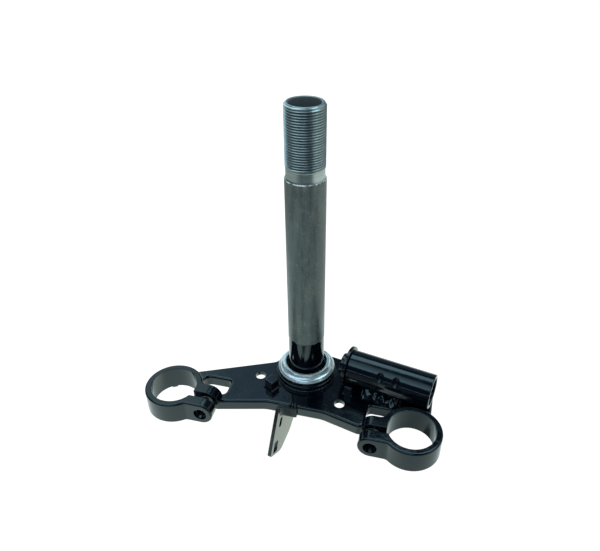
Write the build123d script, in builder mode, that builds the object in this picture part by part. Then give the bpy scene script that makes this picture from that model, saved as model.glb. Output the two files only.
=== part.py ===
import math
import os

from build123d import *

os.makedirs("parts", exist_ok=True)

# Sizes in millimetres. The origin is on the stem axis where the plain shank leaves the collar.
# +Z runs up the stem, -Y is the front, and +X is the side that carries the steering lock.

# Steering stem
shank_radius = 12.5
shank_length = 145.4
stem_bore_radius = 9.2
foot_radius = 12.8
groove_radius = 11.6
groove_length = 6.5
thread_radius = 12.0
thread_length = 36.8
thread_pitch = 1.5
thread_depth = 0.85
thread_crest = 0.25
rim_outer_chamfer = 1.3
rim_inner_chamfer = 0.4

# Collar and lower bearing race
collar_height = 8.2
collar_flange_radius = 21.3
collar_flange_height = 3.5
collar_radius = 20.0
race_seat_height = 5.6
spigot_wall = 1.75
race_radius = 20.45
race_rim_height = 1.3
race_height = 5.2
race_lip = 0.9
race_lip_rise = 1.0
race_land = 1.6
race_track_radius = 3.6
race_round = 0.4
collar_round = 0.6
press_gap = 0.05

# Fork clamps
clamp_spacing = 161.4
clamp_offset = 48.4
clamp_bore_radius = 15.4
clamp_wall = 4.0
clamp_rise = 13.4
clamp_drop = 3.0
clamp_round = 1.2
ear_reach = 24.0
ear_back = 6.1
ear_front = 14.2
ear_blend = 4.0
split_back = 2.3
split_gap = 4.4
pinch_hole_radius = 4.5

# Yoke plate
sheet = 3.0
rim_depth = 8.0
bend_radius = 1.8
front_edge = 36.0
front_half_width = 20.0
front_blend = 20.0
arm_front = 43.5
arm_corner = 4.0
finger_inset = 0.7
finger_width = 7.0
finger_corner = 2.6
finger_inner_corner = 3.4
notch_back = 22.7
notch_clearance = 0.75
notch_inner_corner = 3.0
notch_outer_corner = 6.0
joint_inner = 10.2
joint_outer = 11.6
joint_depth = 4.4
arm_back_at_clamp = 21.9
arm_back_at_stem = 15.8
arm_end_corner = 3.0
apex_radius = 24.0
apex_blend = 8.0
shelf_inset = 1.0
shelf_corner = 8.0
joint_gap = 0.2
bolt_hole_radius = 3.6
left_hole = (-31.1, -12.7)
right_hole = (30.0, -26.2)

# Steering stops
stop_height = 7.5
stop_round = 0.7
stop_foot = 1.0
stop_foot_taper = 45.0
left_stop_at = (-19.75, -21.65)
left_stop_size = (7.2, 7.1)
left_stop_turn = -28.0
right_stop_at = (34.4, -14.75)
right_stop_size = (6.0, 4.4)
right_stop_turn = -11.2

# Steering lock housing
lock_turn = 11.2
lock_side_offset = 4.2
lock_lift = 0.1
lock_radius = 12.0
lock_bore_radius = 9.5
lock_start = 32.9
lock_length = 59.1
lock_edge_round = 0.8
guide_flange_radius = 14.1
guide_flange_thickness = 2.4
guide_boss_radius = 7.9
guide_boss_length = 4.0
guide_bolt_radius = 4.0
guide_round = 0.6
dimple_radius = 3.1
dimple_depth = 1.5
dimple_rise = 34.0
dimple_places = (57.3, 68.3)
saddle_start = 44.0
saddle_length = 29.0
saddle_front = 6.5
saddle_back = 9.0
saddle_height = 8.0
saddle_gap = 0.1

# Cable bracket
bracket_sheet = 2.5
bracket_turn = 12.0
bracket_gap = 0.05
bracket_x = -8.2
bracket_flange_left = -9.5
bracket_flange_right = 2.6
bracket_bend = 2.6
bracket_end_round = 1.0
bracket_outline = (
    (1.9, 0.0),
    (-2.6, 0.0),
    (-17.4, -34.4),
    (-2.9, -41.9),
    (11.8, -34.3),
    (19.0, -26.8),
    (19.0, -8.2),
    (1.9, -8.2),
)
bracket_corners = (0.0, 0.0, 2.0, 7.0, 8.0, 3.0, 2.0, 0.0)
slot_width = 3.4
slot_middle = (-1.1, -14.0)
slot_end = (-2.0, -16.0)
eye_size = (5.6, 9.0)
eye_middle = (-9.6, -31.1)
eye_turn = -18.0
eye_corner = 0.8

# Weld beads
stem_bead = 4.0
collar_bead = 1.0
clamp_bead = 3.0
clamp_bead_start = 66.0
clamp_bead_arc = 44.0
lock_bead = 3.2
lock_bead_spans = ((45.0, 9.4), (55.4, 8.4), (64.8, 6.6))
bracket_bead_radius = 1.7
bracket_bead_span = (-3.2, 2.4)

# Levels and places that follow from the sizes above
plate_top = -collar_height
stem_bottom = plate_top - rim_depth
thread_start = shank_length + groove_length
stem_top = thread_start + thread_length
thread_flank = (thread_pitch - thread_crest) / 2
thread_turns = int((thread_length - rim_outer_chamfer - thread_flank) / thread_pitch)
race_seat = plate_top + race_seat_height
race_top = race_seat + race_height
collar_bore_radius = foot_radius + press_gap
spigot_radius = collar_bore_radius + spigot_wall
race_bore_radius = spigot_radius + press_gap
clamp_x = clamp_spacing / 2
clamp_y = -clamp_offset
clamp_radius = clamp_bore_radius + clamp_wall
clamp_bottom = plate_top - clamp_drop
clamp_height = clamp_rise + clamp_drop
clamp_middle = clamp_bottom + clamp_height / 2
ear_radius = clamp_height / 2
ear_x = clamp_x - ear_reach
joint_radius = clamp_radius + joint_gap
ear_half_at_plate = math.sqrt(ear_radius**2 - (clamp_middle - plate_top) ** 2)
notch_inner = ear_x - ear_half_at_plate - notch_clearance
notch_outer = clamp_x - joint_inner
finger_end = ear_x - finger_inset
finger_back = arm_front - finger_width
arm_slope = (arm_front - front_edge) / (notch_inner - front_half_width)
finger_front = front_edge + (finger_end - front_half_width) * arm_slope
arm_end = clamp_x + joint_outer
arm_end_back = clamp_y + arm_back_at_clamp
arm_end_front = clamp_y + joint_depth
lock_height = guide_flange_radius + lock_lift
lock_axis = Vector(1, 0, 0).rotate(Axis.Z, -lock_turn)
lock_side = Vector(0, 1, 0).rotate(Axis.Z, -lock_turn)
lock_origin = lock_side * lock_side_offset + Vector(0, 0, plate_top + lock_height)
dimple_out = (-lock_side).rotate(Axis((0, 0, 0), lock_axis), -dimple_rise)
lock_plane = Plane(origin=lock_origin, x_dir=lock_side, z_dir=lock_axis)
shelf_near = lock_side * (apex_radius - shelf_inset)
shelf_far = shelf_near + lock_axis * ((arm_end - shelf_near.X) / lock_axis.X)
bracket_normal = Vector(1, 0, 0).rotate(Axis.Z, -bracket_turn)
bracket_run = Vector(0, 1, 0).rotate(Axis.Z, -bracket_turn)
bracket_front = -front_edge - bracket_gap - bracket_sheet
bracket_plane = Plane(origin=(bracket_x, bracket_front, plate_top), x_dir=bracket_run, z_dir=bracket_normal)

# Steering stem, turned from tube, its thread as rings at the thread's pitch
ring_outline = [(groove_radius, thread_start)]
for turn in range(thread_turns + 1):
    ring_start = thread_start + turn * thread_pitch
    if turn > 0:
        ring_outline.append((thread_radius - thread_depth, ring_start))
    ring_outline.append((thread_radius, ring_start + thread_flank))
    if turn < thread_turns:
        ring_outline.append((thread_radius, ring_start + thread_flank + thread_crest))
with BuildPart() as steering_stem:
    with BuildSketch(Plane.XZ):
        with BuildLine():
            Polyline(
                (stem_bore_radius, stem_bottom),
                (foot_radius, stem_bottom),
                (foot_radius, 0),
                (shank_radius, 0),
                (shank_radius, shank_length),
                (groove_radius, shank_length),
                *ring_outline,
                (thread_radius, stem_top - rim_outer_chamfer),
                (thread_radius - rim_outer_chamfer, stem_top),
                (stem_bore_radius + rim_inner_chamfer, stem_top),
                (stem_bore_radius, stem_top - rim_inner_chamfer),
                close=True,
            )
        make_face()
    revolve(axis=Axis.Z)
steering_stem.part.label = "steering_stem"
export_step(steering_stem.part, "parts/steering_stem.step")

# Stepped collar on the plate
with BuildPart() as stem_collar:
    with BuildSketch(Plane.XZ):
        with BuildLine():
            FilletPolyline(
                (collar_bore_radius, plate_top),
                (collar_flange_radius, plate_top),
                (collar_flange_radius, plate_top + collar_flange_height),
                (collar_radius, plate_top + collar_flange_height),
                (collar_radius, race_seat),
                (spigot_radius, race_seat),
                (spigot_radius, 0),
                (collar_bore_radius, 0),
                radius=(0, 0, collar_round, collar_round, 0, 0, collar_round, 0),
                close=True,
            )
        make_face()
    revolve(axis=Axis.Z)
stem_collar.part.label = "stem_collar"
export_step(stem_collar.part, "parts/stem_collar.step")

# Cone race of the lower steering bearing
with BuildPart() as bearing_race:
    with BuildSketch(Plane.XZ):
        with BuildLine():
            track_foot = (race_radius - race_lip, race_seat + race_rim_height + race_lip_rise)
            track_head = (race_bore_radius + race_land, race_top)
            Polyline(
                track_head,
                (race_bore_radius, race_top),
                (race_bore_radius, race_seat),
                (race_radius, race_seat),
                (race_radius, race_seat + race_rim_height),
                track_foot,
            )
            RadiusArc(track_head, track_foot, -race_track_radius)
        make_face()
    revolve(axis=Axis.Z)
    rims = bearing_race.edges().filter_by(GeomType.CIRCLE)
    lip_edge = rims.filter_by(lambda e: math.isclose(e.radius, race_radius)).sort_by(Axis.Z)[-1]
    land_edge = rims.filter_by(lambda e: math.isclose(e.radius, race_bore_radius)).sort_by(Axis.Z)[-1]
    fillet([lip_edge, land_edge], race_round)
bearing_race.part.label = "bearing_race"
export_step(bearing_race.part, "parts/bearing_race.step")

# Pressed yoke plate with a turned-down rim
with BuildPart() as yoke_plate:
    with BuildSketch(Plane.XY.offset(plate_top)) as plate_blank:
        with BuildLine():
            FilletPolyline(
                (front_half_width, -front_edge),
                (notch_inner, -arm_front),
                (notch_inner, -notch_back),
                (notch_outer, -notch_back),
                (notch_outer, arm_end_front),
                (arm_end, arm_end_front),
                (shelf_far.X, shelf_far.Y),
                (shelf_near.X, shelf_near.Y),
                (0, arm_back_at_stem),
                (-arm_end, arm_end_back),
                (-arm_end, arm_end_front),
                (-notch_outer, arm_end_front),
                (-notch_outer, -notch_back),
                (-notch_inner, -notch_back),
                (-notch_inner, -finger_back),
                (-finger_end, -finger_back),
                (-finger_end, -finger_front),
                (-front_half_width, -front_edge),
                radius=(
                    front_blend,
                    arm_corner,
                    notch_inner_corner,
                    notch_outer_corner,
                    0,
                    0,
                    shelf_corner,
                    0,
                    0,
                    arm_end_corner,
                    0,
                    0,
                    notch_outer_corner,
                    notch_inner_corner,
                    finger_inner_corner,
                    finger_corner,
                    finger_corner,
                    front_blend,
                ),
                close=True,
            )
        make_face()
        Circle(apex_radius)
        on_apex = plate_blank.vertices().filter_by(lambda v: math.isclose(math.hypot(v.X, v.Y), apex_radius))
        fillet(on_apex, apex_blend)
    with BuildSketch(Plane.XY.offset(plate_top)) as plate_outline:
        add(plate_blank.sketch_local)
        with Locations((-clamp_x, clamp_y), (clamp_x, clamp_y)):
            Circle(joint_radius, mode=Mode.SUBTRACT)
    extrude(plate_outline.sketch, amount=-rim_depth)
    top_edges = yoke_plate.faces().sort_by(Axis.Z)[-1].outer_wire().edges()
    joint_edges = top_edges.filter_by(GeomType.CIRCLE).filter_by(lambda e: math.isclose(e.radius, joint_radius))
    fillet(top_edges - joint_edges, bend_radius)
    with BuildSketch(Plane.XY.offset(plate_top - sheet)) as plate_hollow:
        add(plate_blank.sketch_local)
        offset(amount=-sheet, mode=Mode.REPLACE)
    extrude(plate_hollow.sketch, amount=-rim_depth, mode=Mode.SUBTRACT)
    with BuildSketch(Plane.XY.offset(plate_top)) as plate_holes:
        Circle(collar_bore_radius)
        with Locations(left_hole, right_hole):
            Circle(bolt_hole_radius)
    extrude(plate_holes.sketch, amount=-sheet, mode=Mode.SUBTRACT)
    with BuildSketch(Plane.XZ.offset(-clamp_y - ear_back - joint_gap)) as ear_bed:
        with Locations((-ear_x, clamp_middle)):
            Circle(ear_radius + joint_gap)
    extrude(ear_bed.sketch, amount=ear_back, mode=Mode.SUBTRACT)
yoke_plate.part.label = "yoke_plate"
export_step(yoke_plate.part, "parts/yoke_plate.step")

# Split fork clamps with ears that point at the stem
for side, hand in ((-1, "left"), (1, "right")):
    with BuildPart() as fork_clamp:
        with BuildSketch(Plane.XY.offset(clamp_bottom)):
            with Locations((side * clamp_x, clamp_y)):
                Circle(clamp_radius)
        extrude(amount=clamp_height)
        with BuildSketch(Plane.XZ.offset(-clamp_y - ear_back)):
            with Locations((side * ear_x, clamp_middle)):
                Circle(ear_radius)
            with Locations((side * (clamp_x + ear_x) / 2, clamp_middle)):
                Rectangle(ear_reach, clamp_height)
        extrude(amount=ear_back + ear_front)
        fillet(fork_clamp.edges().filter_by(Axis.Z), ear_blend)
        levels = fork_clamp.edges().group_by(Axis.Z)
        outline_edges = (levels[0] + levels[-1]).filter_by(Axis.Y, reverse=True)
        rounds = fork_clamp.edges().filter_by(GeomType.CIRCLE)
        ear_ends = rounds.filter_by(lambda e: math.isclose(e.radius, ear_radius))
        fillet(outline_edges + ear_ends, clamp_round)
        with BuildSketch(Plane.XY.offset(clamp_bottom)):
            with Locations((side * clamp_x, clamp_y)):
                Circle(clamp_bore_radius)
            with Locations((side * (clamp_x - ear_reach), clamp_y - split_back - split_gap / 2)):
                Rectangle(2 * ear_reach, split_gap)
        extrude(amount=clamp_height, mode=Mode.SUBTRACT)
        with BuildSketch(Plane.XZ.offset(-clamp_y - ear_back)):
            with Locations((side * ear_x, clamp_middle)):
                Circle(pinch_hole_radius)
        extrude(amount=ear_back + ear_front, mode=Mode.SUBTRACT)
    fork_clamp.part.label = f"fork_clamp_{hand}"
    export_step(fork_clamp.part, f"parts/fork_clamp_{hand}.step")

# Steering stop blocks
for hand, place, size, turn in (
    ("left", left_stop_at, left_stop_size, left_stop_turn),
    ("right", right_stop_at, right_stop_size, right_stop_turn),
):
    with BuildPart() as steering_stop:
        with BuildSketch(Plane.XY.offset(plate_top)):
            with Locations(place):
                Rectangle(*size, rotation=turn)
        extrude(amount=stop_height)
        fillet(steering_stop.edges().filter_by(Axis.Z), stop_round)
        fillet(steering_stop.faces().sort_by(Axis.Z)[-1].edges(), stop_round)
        with BuildSketch(Plane.XY.offset(plate_top)) as stop_base:
            with Locations(place):
                Rectangle(size[0] + 2 * stop_foot, size[1] + 2 * stop_foot, rotation=turn)
        extrude(stop_base.sketch, amount=stop_foot, taper=stop_foot_taper)
    steering_stop.part.label = f"steering_stop_{hand}"
    export_step(steering_stop.part, f"parts/steering_stop_{hand}.step")

# Steering lock tube with two dimples in its front
with BuildPart() as lock_tube:
    with BuildSketch(lock_plane.offset(lock_start)):
        Circle(lock_radius)
        Circle(lock_bore_radius, mode=Mode.SUBTRACT)
    extrude(amount=lock_length)
    mouth_edges = lock_tube.edges().filter_by(GeomType.CIRCLE).group_by(Axis((0, 0, 0), lock_axis))[-1]
    fillet(mouth_edges, lock_edge_round)
    for along in dimple_places:
        with Locations(lock_origin + lock_axis * along + dimple_out * (lock_radius - dimple_depth + dimple_radius)):
            Sphere(dimple_radius, mode=Mode.SUBTRACT)
lock_tube.part.label = "lock_tube"
export_step(lock_tube.part, "parts/lock_tube.step")

# Flanged inner end of the lock tube, bored for the lock bolt
with BuildPart() as lock_bolt_guide:
    with BuildSketch(lock_plane.offset(lock_start - guide_flange_thickness)):
        Circle(guide_flange_radius)
    extrude(amount=guide_flange_thickness)
    fillet(lock_bolt_guide.edges().filter_by(GeomType.CIRCLE), guide_round)
    with BuildSketch(lock_plane.offset(lock_start - guide_flange_thickness - guide_boss_length)):
        Circle(guide_boss_radius)
    extrude(amount=guide_boss_length)
    fillet(lock_bolt_guide.edges().filter_by(GeomType.CIRCLE).sort_by(Axis((0, 0, 0), lock_axis))[0], guide_round)
    with BuildSketch(lock_plane.offset(lock_start)):
        Circle(guide_bolt_radius)
    extrude(amount=-guide_flange_thickness - guide_boss_length, mode=Mode.SUBTRACT)
lock_bolt_guide.part.label = "lock_bolt_guide"
export_step(lock_bolt_guide.part, "parts/lock_bolt_guide.step")

# Saddle between the lock tube and the plate
with BuildPart() as lock_saddle:
    with BuildSketch(lock_plane.offset(saddle_start)):
        with Locations((-saddle_front, -lock_height)):
            Rectangle(saddle_front + saddle_back, saddle_height, align=(Align.MIN, Align.MIN))
        Circle(lock_radius + saddle_gap, mode=Mode.SUBTRACT)
    extrude(amount=saddle_length)
lock_saddle.part.label = "lock_saddle"
export_step(lock_saddle.part, "parts/lock_saddle.step")

# Bent cable bracket on the front rim
with BuildPart() as cable_bracket:
    with BuildSketch(bracket_plane):
        with BuildLine():
            FilletPolyline(*bracket_outline, radius=bracket_corners, close=True)
        make_face()
        SlotCenterPoint(slot_middle, slot_end, slot_width, mode=Mode.SUBTRACT)
        with Locations(eye_middle):
            RectangleRounded(*eye_size, eye_corner, rotation=eye_turn, mode=Mode.SUBTRACT)
    extrude(amount=-bracket_sheet)
    with BuildSketch(Plane.XY.offset(plate_top)):
        with Locations((bracket_flange_left, bracket_front)):
            Rectangle(bracket_flange_right - bracket_flange_left, bracket_sheet, align=(Align.MIN, Align.MIN))
    extrude(amount=-rim_depth)
    upright_edges = cable_bracket.edges().filter_by(Axis.Z)
    fillet(upright_edges.sort_by_distance((bracket_x, bracket_front, plate_top))[0], bracket_bend)
    upright_edges = cable_bracket.edges().filter_by(Axis.Z)
    fillet(upright_edges.sort_by_distance((bracket_flange_right, bracket_front, plate_top))[0], bracket_end_round)
cable_bracket.part.label = "cable_bracket"
export_step(cable_bracket.part, "parts/cable_bracket.step")

# Weld bead under the plate, around the stem foot
with BuildPart() as stem_weld:
    with BuildSketch(Plane.XZ):
        with BuildLine():
            Polyline(
                (foot_radius, plate_top - sheet),
                (foot_radius + stem_bead, plate_top - sheet),
                (foot_radius, plate_top - sheet - stem_bead),
                close=True,
            )
        make_face()
    revolve(axis=Axis.Z)
stem_weld.part.label = "stem_weld"
export_step(stem_weld.part, "parts/stem_weld.step")

# Weld bead around the collar's foot
with BuildPart() as collar_weld:
    with BuildSketch(Plane.XZ):
        with BuildLine():
            Polyline(
                (collar_flange_radius, plate_top),
                (collar_flange_radius + collar_bead, plate_top),
                (collar_flange_radius, plate_top + collar_bead),
                close=True,
            )
        make_face()
    revolve(axis=Axis.Z)
collar_weld.part.label = "collar_weld"
export_step(collar_weld.part, "parts/collar_weld.step")

# Weld beads between the plate and the clamps
for side, hand in ((-1, "left"), (1, "right")):
    bead_start = 90 + side * (clamp_bead_start - 90) - (1 - side) / 2 * clamp_bead_arc
    bead_way = Vector(1, 0, 0).rotate(Axis.Z, bead_start)
    clamp_axis = Axis((side * clamp_x, clamp_y, 0), (0, 0, 1))
    with BuildPart() as clamp_weld:
        with BuildSketch(Plane((side * clamp_x, clamp_y, plate_top), bead_way, bead_way.rotate(Axis.Z, -90))):
            with BuildLine():
                Line((clamp_radius, clamp_bead), (clamp_radius, 0))
                Line((clamp_radius, 0), (clamp_radius + clamp_bead, 0))
                RadiusArc((clamp_radius + clamp_bead, 0), (clamp_radius, clamp_bead), -2 * clamp_bead)
            make_face()
        revolve(axis=clamp_axis, revolution_arc=clamp_bead_arc)
    clamp_weld.part.label = f"clamp_weld_{hand}"
    export_step(clamp_weld.part, f"parts/clamp_weld_{hand}.step")

# Weld beads along the saddle's front foot
with BuildPart() as lock_welds:
    for along, run in lock_bead_spans:
        with BuildSketch(lock_plane.offset(along)):
            with BuildLine():
                Line((-saddle_front, lock_bead - lock_height), (-saddle_front, -lock_height))
                Line((-saddle_front, -lock_height), (-saddle_front - lock_bead, -lock_height))
                RadiusArc(
                    (-saddle_front - lock_bead, -lock_height), (-saddle_front, lock_bead - lock_height), 2 * lock_bead
                )
            make_face()
        extrude(amount=run)
lock_welds.part.label = "lock_welds"
export_step(lock_welds.part, "parts/lock_welds.step")

# Weld bead between the bracket's flange and the plate's bent edge
with BuildPart() as bracket_weld:
    with BuildSketch(Plane.YZ.offset(bracket_bead_span[0])):
        with Locations((-front_edge, plate_top)):
            Circle(bracket_bead_radius)
    extrude(amount=bracket_bead_span[1] - bracket_bead_span[0])
    add(yoke_plate.part, mode=Mode.SUBTRACT)
    add(cable_bracket.part, mode=Mode.SUBTRACT)
bracket_weld.part.label = "bracket_weld"
export_step(bracket_weld.part, "parts/bracket_weld.step")
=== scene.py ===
"""Motorcycle triple clamp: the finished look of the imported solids, laid out as an add-on."""

import math

import bpy
import numpy as np
from mathutils import Matrix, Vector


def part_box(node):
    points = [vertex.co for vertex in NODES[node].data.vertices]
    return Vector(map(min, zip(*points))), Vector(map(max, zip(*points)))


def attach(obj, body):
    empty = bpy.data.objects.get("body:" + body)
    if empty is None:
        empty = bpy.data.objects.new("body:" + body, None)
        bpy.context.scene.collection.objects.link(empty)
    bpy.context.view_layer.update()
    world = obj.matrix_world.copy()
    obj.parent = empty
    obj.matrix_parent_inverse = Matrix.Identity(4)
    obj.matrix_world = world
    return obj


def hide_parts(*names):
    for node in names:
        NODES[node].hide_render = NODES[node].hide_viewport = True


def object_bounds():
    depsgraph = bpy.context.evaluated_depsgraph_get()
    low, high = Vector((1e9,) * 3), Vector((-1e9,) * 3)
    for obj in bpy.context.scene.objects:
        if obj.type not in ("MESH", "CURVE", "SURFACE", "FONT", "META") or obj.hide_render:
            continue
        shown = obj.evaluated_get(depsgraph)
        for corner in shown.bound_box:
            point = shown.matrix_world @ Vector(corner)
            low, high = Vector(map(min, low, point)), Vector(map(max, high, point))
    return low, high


bl_info = {
    "name": "Triple Clamp",
    "version": (1, 0, 0),
    "blender": (4, 5, 0),
    "location": "View3D > Sidebar > Triple Clamp",
    "description": "Dresses the triple clamp's solids with paint, steel, threads and weld beads",
    "category": "Object",
}

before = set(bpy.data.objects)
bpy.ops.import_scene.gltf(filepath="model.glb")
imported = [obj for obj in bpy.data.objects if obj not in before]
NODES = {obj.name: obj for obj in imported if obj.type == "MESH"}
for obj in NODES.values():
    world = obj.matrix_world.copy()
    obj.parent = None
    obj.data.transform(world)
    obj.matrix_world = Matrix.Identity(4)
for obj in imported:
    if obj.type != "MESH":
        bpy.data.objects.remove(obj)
CAD_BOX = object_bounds()
TURN = 2 * math.pi
UP = np.array((0.0, 0.0, 1.0))
IMAGE_WIDTH, IMAGE_HEIGHT = 600, 551
STEM_LOW, STEM_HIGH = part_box("steering_stem")
LOWEST = CAD_BOX[0][2]
PLATE_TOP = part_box("yoke_plate")[1][2]

# Points on a rounded corner, and the ends of a quarter turn
BEND_POINTS = 5
QUARTER = (0, math.pi / 2)

# Noise patterns: repeats per metre, or along each axis, then detail and roughness where they differ from the usual
PAINT_CLOUD, PAINT_DUST, PAINT_WEAR = (38.0, 3.0), (950.0, 1.0), (75.0, 5.0, 0.6)
PAINT_PEEL, PAINT_RIPPLE = (330.0,), (420.0, 3.0)
STEM_RAGGED, STEM_MOTTLE, STEM_SPECK, STEM_BURR = (160.0, 4.0, 0.65), (150.0, 6.0, 0.7), (1100.0, 1.5), (420.0, 3.0)
STEM_STREAK, STEM_WARM = ((330.0, 330.0, 30.0), 4.0, 0.6), ((95.0, 95.0, 45.0), 6.0, 0.7)
STEM_RINGS, RACE_RINGS, RACE_HAZE = ((30.0, 30.0, 2600.0),), (5200.0,), (160.0, 4.0)

# Spans of a noise value over which a finish changes
USUAL_SPAN, CLOUD_SPAN, WEAR_SPAN, DUST_SPAN = (0.3, 0.7), (0.35, 0.65), (0.30, 0.75), (0.70, 0.76)
STREAK_SPAN, MOTTLE_SPAN, WARM_SPAN = (0.32, 0.70), (0.45, 0.75), (0.50, 0.72)
SPECK_SPAN, BURR_SPAN = (0.66, 0.74), (0.45, 0.58)

# Colours and depths of the small detail in the finishes
# The burr's bright colour is also a painted highlight on the stem's top rim, at the rim's share below
DUST_COLOUR, SPECK_COLOUR, BURR_AND_RIM_HIGHLIGHT_COLOUR = (0.10, 0.11, 0.12), (0.24, 0.26, 0.22), (0.75, 0.80, 0.76)
# The foot black is the stem's paint, and also painted shade on the race's foot
PAINT_AND_SHADE_BLACK, FOOT_GLOSS = (0.0006, 0.0014, 0.0036), 0.09
DUST_SHARE, DUST_DULL, SPECK_SHARE, HAZE_SHARE, WARM_SHARE, RIM_HIGHLIGHT_SHARE = 0.12, 0.15, 0.55, 0.55, 0.7, 0.3
PEEL_DEPTH, BEAD_PEEL_DEPTH, BEAD_RIPPLE = 0.00005, 0.00006, 0.8
OIL_REFRACTION = 1.5

# Lights of the room, in degrees: heights and turns with a soft end, turn 0 being behind the object and -90 the left
FRONT_BOX_RISE, FRONT_BOX_TURN, FRONT_BOX_REACH = (44, 77, 1.5), -145, (45, 65)
FRONT_BOX_FADE, FRONT_BOX_TOP = (46, 76), 0.35
BACK_BOX_RISE, BACK_BOX_TURN, BACK_BOX_REACH = (51.5, 74, 2), 10, (70, 90)
WALL_RISE, WALL_START, WALL_HIGH_RISE, WALL_HIGH_START = (2, 52, 3), (-62, -46), (30, 52, 3), (-72, -58)
WALL_END, WALL_FAR_END = (-20, -15), (-30, -25)
RIGHT_RISE, RIGHT_SPREAD = (-2, 42, 6), (32, 112, 14)
BACK_RISE, BACK_SPREAD = (-5, 33, 4), (-12, 30, 6)
LINE_RISE, LINE_START = (10.5, 14, 1), (125, 145)
DARK_START, FRONT_START, HORIZON = (-12, -2), (95, 120), (-3, 1)

# Floor as gloss sees it, with a painted pool of light and painted shadows, in metres: middles of round patches,
# directions of strips, and where they fade
FLOOR_DROP, FLOOR_CUTS = 0.0002, 9
# Painted light: the floor as gloss sees it is brightest within this reach of the object
FLOOR_MIDDLE, UNDER_LIGHT_REACH = (-0.01, -0.01, LOWEST), (0.03, 0.06)
# Painted shadows on the floor as gloss sees it: a broad dim patch and a tight dark one on the right
HOLLOW_SHADOW_MIDDLE, HOLLOW_SHADOW_REACH, HOLLOW_SHADOW_SHARE = (0.068, -0.05, LOWEST), (0.025, 0.05), 0.42
SHADOW_MIDDLE, SHADOW_REACH, SHADOW_SHARE = (0.058, -0.043, LOWEST), (0.0085, 0.0125), 0.9
SHADE_WAY, SHADE_REACH, SHADE_SHARE = (0.8, -0.6, 0.0), (0.05, 0.15), 0.38
# A strip of painted shade on the floor in front, as gloss sees it
SHADE_LANE_ACROSS, SHADE_LANE_WIDTH = (0.9, -0.4, 0.0), (0.020, 0.058, 0.006)
SHADE_LANE_WAY, SHADE_LANE_REACH, SHADE_LANE_SHARE = (-0.4, -0.9, 0.0), (0.070, 0.088), 0.88
RIGHT_WAY, RIGHT_REACH, LEFT_WAY, LEFT_REACH = (1.0, 0.8, 0.0), (0.16, 0.25), (1.0, 0.0, 0.0), (-0.32, -0.22)
PAPER_GLOW, PAPER_SHADE, FLOOR_GREY = 0.94, (0.24, 0.2, 0.18, 1), (0.8, 0.8, 0.8, 1)


def smoothstep(low, high, value):
    """Rises from 0 to 1 between low and high with level ends: 3t squared less 2t cubed."""
    t = np.clip((value - low) / (high - low), 0, 1)
    return t * t * (3 - 2 * t)


def grid_object(name, points, close_rows=False, close_columns=False):
    """Turns a grid of points, rows by columns, into a smooth quad object; a closed direction joins end to start.
    Where the enclosed volume comes out negative, every face is turned round, so that faces look outward."""
    rows, columns = points.shape[:2]
    i = np.arange(rows if close_rows else rows - 1)[:, None]
    j = np.arange(columns if close_columns else columns - 1)[None, :]
    a, b = i % rows, (i + 1) % rows
    c, d = j % columns, (j + 1) % columns
    quads = np.stack([a * columns + c, a * columns + d, b * columns + d, b * columns + c], -1).reshape(-1, 4)
    flat = points.reshape(-1, 3)
    p, q, r, s = (flat[quads[:, k]] for k in range(4))
    volume = np.einsum("ij,ij->i", p, np.cross(q, r) + np.cross(r, s)).sum()
    quads = quads[:, ::-1] if volume < 0 else quads
    mesh = bpy.data.meshes.new(name)
    mesh.vertices.add(len(flat))
    mesh.vertices.foreach_set("co", np.ascontiguousarray(flat, np.float32).ravel())
    mesh.loops.add(quads.size)
    mesh.loops.foreach_set("vertex_index", np.ascontiguousarray(quads, np.int32).ravel())
    mesh.polygons.add(len(quads))
    mesh.polygons.foreach_set("loop_start", np.arange(0, quads.size, 4, dtype=np.int32))
    mesh.polygons.foreach_set("use_smooth", np.ones(len(quads), bool))
    mesh.update(calc_edges=True)
    mesh.validate()
    piece = bpy.data.objects.new(name, mesh)
    bpy.context.scene.collection.objects.link(piece)
    return piece


def dense_profile(corners, step):
    """Walks the closed run of straight lines through the corners and adds points no further apart than step."""
    corners = np.asarray(corners, float)
    ends = np.roll(corners, -1, axis=0)
    runs = []
    for start, end in zip(corners, ends):
        count = max(1, int(math.ceil(np.linalg.norm(end - start) / step)))
        runs.append(start + (end - start) * (np.arange(count) / count)[:, None])
    return np.concatenate(runs)


def rounded_profile(corners, radius):
    """Replaces each corner of a closed run of lines by a parabola that starts and ends radius away from it, or just
    short of half way along a shorter line."""
    corners = np.asarray(corners, float)
    t = (np.arange(BEND_POINTS) / (BEND_POINTS - 1))[None, :, None]
    half_way = 0.45

    def towards(other):
        length = np.linalg.norm(other - corners, axis=1, keepdims=True)
        return (corners + (other - corners) / length * np.minimum(radius, half_way * length))[:, None]

    start, end = towards(np.roll(corners, 1, axis=0)), towards(np.roll(corners, -1, axis=0))
    return ((1 - t) ** 2 * start + 2 * t * (1 - t) * corners[:, None] + t ** 2 * end).reshape(-1, 2)


def lathe_points(radius, z, steps):
    """Carries radii and heights round the Z axis: x = r cos a, y = r sin a, z as it is."""
    angle = (np.arange(steps) * TURN / steps)[:, None]
    x, y = radius * np.cos(angle), radius * np.sin(angle)
    return np.stack([x, y, np.broadcast_to(z, x.shape)], -1)


def fill_sockets(tree, node, inputs):
    """Fills a node's inputs, by name or number, with plain values or links."""
    for key, value in inputs.items():
        if isinstance(value, bpy.types.NodeSocket):
            tree.links.new(value, node.inputs[key])
        else:
            node.inputs[key].default_value = value


def add(tree, kind, inputs=None, **settings):
    """Adds a shader node, sets its options and fills its inputs."""
    node = tree.nodes.new("ShaderNode" + kind)
    for key, value in settings.items():
        setattr(node, key, value)
    fill_sockets(tree, node, inputs or {})
    return node


def maths(tree, operation, *values):
    """Adds a Math node and gives back its result."""
    return add(tree, "Math", dict(enumerate(values)), operation=operation).outputs[0]


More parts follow.
